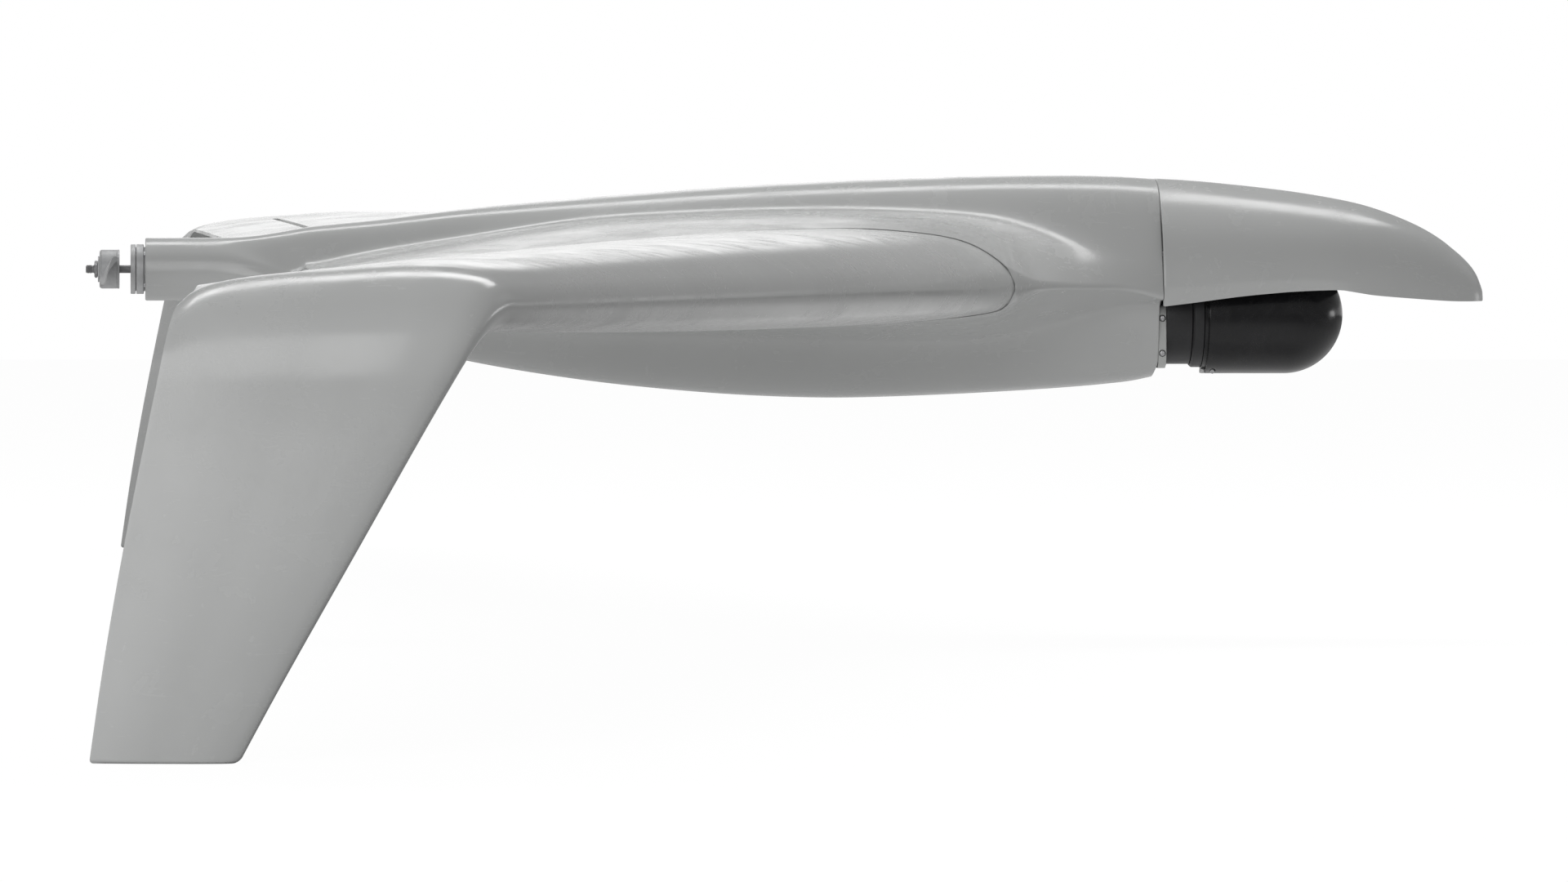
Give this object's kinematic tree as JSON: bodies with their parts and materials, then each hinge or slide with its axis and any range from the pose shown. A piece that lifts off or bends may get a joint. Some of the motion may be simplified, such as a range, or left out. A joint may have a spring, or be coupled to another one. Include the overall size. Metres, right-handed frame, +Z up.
{
  "type": "flying-wing model aircraft",
  "caption": "Small electric flying-wing aircraft: blended centre body, plug-in swept wings with down-turned tip fins, pusher propeller, beak nose fairing and a rolling camera turret.",
  "frame": {"origin": "bottom centre of the whole box: midway between nose tip and shaft end, on the centreline, at the level of the fin feet", "axes": "+X out of the nose, +Y to the left wing tip, +Z up; the thrust line is parallel to X"},
  "size_m": [0.7998, 2.2208, 0.263],
  "materials": {
    "shell_grey": "satin moulded shell, light grey",
    "black_plastic": "satin black moulding",
    "smoked_dome": "polished smoked shell",
    "carbon": "woven carbon tube, clear coat",
    "motor_alloy": "turned, fine grooves",
    "motor_dark": "black anodised",
    "steel": "ground and threaded steel",
    "copper": "enamelled copper winding on a laminated core",
    "prop_composite": "moulded grey composite",
    "wire_red": "silicone insulation",
    "wire_black": "silicone insulation",
    "pack_wrap": "shrink wrap",
    "strap_fabric": "woven hook and loop",
    "ply": "birch plywood, unvarnished",
    "board_green": "glass fibre sheet",
    "white_plastic": "moulded",
    "contact_gold": "gold-flashed contacts in a housing",
    "lens_glass": "coated lens face in a black barrel",
    "flange_grey": "light grey paint on aluminium"
  },
  "bodies": {
    "airframe": {"centre_body": "shell_grey", "main_spar": "carbon", "rear_spar": "carbon", "rib_sockets": "contact_gold", "motor_mount": "motor_alloy", "motor_end_bell": "motor_alloy", "motor_can": "motor_dark", "motor_stator": "copper", "motor_bearings": "steel", "motor_mount_screws": "steel", "motor_wires": "wire_black", "esc": "pack_wrap", "battery_lead": "wire_red", "battery_pack": "pack_wrap", "battery_tray": "ply", "battery_strap": "strap_fabric", "equipment_deck": "board_green", "flight_controller": "black_plastic", "gps_module": "white_plastic", "telemetry_radio": "black_plastic", "payload_flange": "flange_grey", "flange_screws": "steel", "payload_neck": "black_plastic", "roll_bearing": "steel"},
    "prop_shaft": {"motor_rotor": "steel", "motor_shaft": "motor_dark", "prop_backplate": "motor_alloy", "propeller": "prop_composite", "prop_washer": "motor_alloy", "prop_nut": "motor_dark"},
    "nose": {"nose_fairing": "shell_grey", "nose_pins": "steel"},
    "turret": {"turret_collar": "black_plastic", "turret_dome": "smoked_dome", "dome_clip": "flange_grey", "dome_screws": "steel", "camera_yoke": "motor_alloy", "tilt_pins": "steel"},
    "camera": {"camera_body": "black_plastic", "camera_lens": "lens_glass"},
    "left_wing_panel": {"left_wing": "shell_grey", "left_hinge_rod": "steel", "left_servo": "black_plastic", "left_servo_screws": "steel", "left_wing_plug": "contact_gold"},
    "left_elevon_panel": {"left_elevon": "shell_grey", "left_control_horn": "black_plastic"},
    "left_arm": {"left_servo_arm": "white_plastic"},
    "left_rod": {"left_pushrod": "steel"},
    "right_wing_panel": {"right_wing": "shell_grey", "right_hinge_rod": "steel", "right_servo": "black_plastic", "right_servo_screws": "steel", "right_wing_plug": "contact_gold"},
    "right_elevon_panel": {"right_elevon": "shell_grey", "right_control_horn": "black_plastic"},
    "right_arm": {"right_servo_arm": "white_plastic"},
    "right_rod": {"right_pushrod": "steel"}
  },
  "joints": [
    {"name": "propeller_spin", "type": "hinge", "parent": "airframe", "child": "prop_shaft", "pos_m": [-0.38585, 0, 0.2094], "axis": [-1, 0, 0], "continuous": true},
    {"name": "nose_fairing_off", "type": "slide", "parent": "airframe", "child": "nose", "axis": [1, 0, 0], "range_m": [0, 0.13]},
    {"name": "turret_roll", "type": "hinge", "parent": "airframe", "child": "turret", "pos_m": [0.23415, 0, 0.1835], "axis": [1, 0, 0], "range_deg": [-160, 160]},
    {"name": "camera_tilt", "type": "hinge", "parent": "turret", "child": "camera", "pos_m": [0.28315, 0, 0.1835], "axis": [0, 1, 0], "range_deg": [-30, 90]},
    {"name": "left_wing_off", "type": "slide", "parent": "airframe", "child": "left_wing_panel", "axis": [0, 1, 0], "range_m": [0, 0.28]},
    {"name": "left_elevon_hinge", "type": "hinge", "parent": "left_wing_panel", "child": "left_elevon_panel", "pos_m": [-0.26236, 0.7, 0.22026], "axis": [-0.0734, 0.9972, 0.0113], "range_deg": [-20, 20]},
    {"name": "left_servo_arm_turn", "type": "hinge", "parent": "left_wing_panel", "child": "left_arm", "pos_m": [-0.20751, 0.70411, 0.21426], "axis": [-0.0734, 0.9972, 0.0113], "range_deg": [-21, 21]},
    {"name": "left_pushrod_pivot", "type": "hinge", "parent": "left_arm", "child": "left_rod", "pos_m": [-0.20772, 0.70704, 0.18429], "axis": [-0.0734, 0.9972, 0.0113], "range_deg": [-21, 21]},
    {"name": "right_wing_off", "type": "slide", "parent": "airframe", "child": "right_wing_panel", "axis": [0, -1, 0], "range_m": [0, 0.28]},
    {"name": "right_elevon_hinge", "type": "hinge", "parent": "right_wing_panel", "child": "right_elevon_panel", "pos_m": [-0.26236, -0.7, 0.22026], "axis": [0.0734, 0.9972, -0.0113], "range_deg": [-20, 20]},
    {"name": "right_servo_arm_turn", "type": "hinge", "parent": "right_wing_panel", "child": "right_arm", "pos_m": [-0.20751, -0.70411, 0.21426], "axis": [0.0734, 0.9972, -0.0113], "range_deg": [-21, 21]},
    {"name": "right_pushrod_pivot", "type": "hinge", "parent": "right_arm", "child": "right_rod", "pos_m": [-0.20772, -0.70704, 0.18429], "axis": [0.0734, 0.9972, -0.0113], "range_deg": [-21, 21]}
  ],
  "couplings": [
    {"joint": "left_servo_arm_turn", "follows": "left_elevon_hinge", "ratio": 1},
    {"joint": "left_pushrod_pivot", "follows": "left_elevon_hinge", "ratio": -1},
    {"joint": "right_servo_arm_turn", "follows": "right_elevon_hinge", "ratio": 1},
    {"joint": "right_pushrod_pivot", "follows": "right_elevon_hinge", "ratio": -1}
  ]
}
